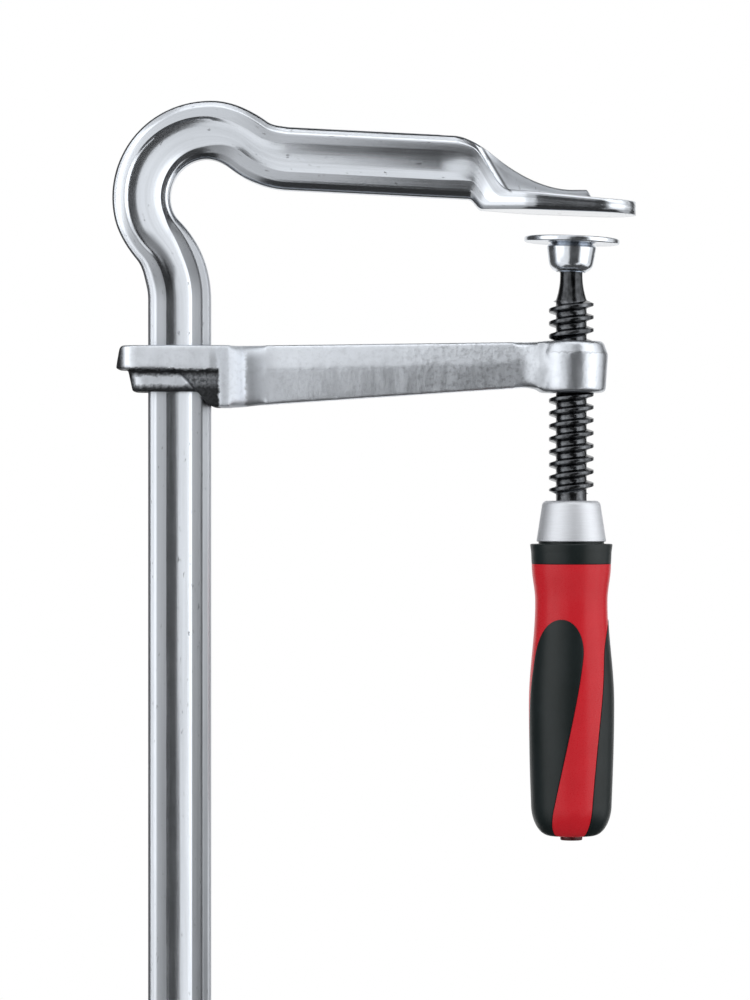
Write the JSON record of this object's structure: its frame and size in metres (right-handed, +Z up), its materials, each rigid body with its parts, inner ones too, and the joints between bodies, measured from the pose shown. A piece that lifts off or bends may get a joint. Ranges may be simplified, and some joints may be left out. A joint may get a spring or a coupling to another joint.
{
  "type": "screw clamp",
  "caption": "All-steel screw clamp: bent grooved rail with forged fixed jaw, sliding forged arm, screw with swivelling pressure plate, two-component handle.",
  "frame": {"origin": "point of the fixed jaw's ground face that lies on the screw's axis", "axes": "+Z up along the rail and the screw, towards the fixed jaw; +X from the rail towards the screw; +Y to the back"},
  "size_m": [0.1626, 0.0296, 0.3251],
  "materials": {
    "bright_steel": "bright drawn and forged steel, zinc plated, with fine lines along the bar",
    "forged_steel": "tumbled forging, zinc plated, with rough as-forged patches",
    "black_steel": "black oxide, lightly oiled",
    "plated_steel": "turned steel, bright plated",
    "spring_steel": "spring steel, phosphated",
    "satin_aluminium": "satin blasted aluminium",
    "red_plastic": "hard red plastic, finely eroded",
    "black_rubber": "soft charcoal-black elastomer, matt"
  },
  "bodies": {
    "frame": {"rail": "bright_steel", "stop_pin": "spring_steel"},
    "arm": {"sliding_arm": "forged_steel"},
    "ball_ring": {"retaining_ring": "spring_steel"},
    "screw": {"spindle": "black_steel", "ferrule": "satin_aluminium", "grip_collar": "black_rubber", "handle_core": "red_plastic", "grip_panel_1": "black_rubber", "grip_panel_2": "black_rubber", "grip_panel_3": "black_rubber"},
    "plate": {"pressure_disc": "plated_steel", "socket_cup": "plated_steel"}
  },
  "joints": [
    {"name": "arm_slide", "type": "slide", "parent": "frame", "child": "arm", "axis": [0, 0, 1], "range_m": [-0.2224, 0]},
    {"name": "screw_feed", "type": "slide", "parent": "arm", "child": "ball_ring", "axis": [0, 0, 1], "range_m": [-0.0201, 0.0053]},
    {"name": "screw_turn", "type": "hinge", "parent": "ball_ring", "child": "screw", "pos_m": [0, 0, -0.0477], "axis": [0, 0, 1], "range_deg": [-1800, 468]},
    {"name": "plate_tilt", "type": "hinge", "parent": "ball_ring", "child": "plate", "pos_m": [0, 0, -0.01371], "axis": [0, 1, 0], "range_deg": [-8.1, 3.9]}
  ],
  "couplings": [
    {"joint": "screw_feed", "follows": "screw_turn", "m_per_rad": 0.00063662}
  ]
}
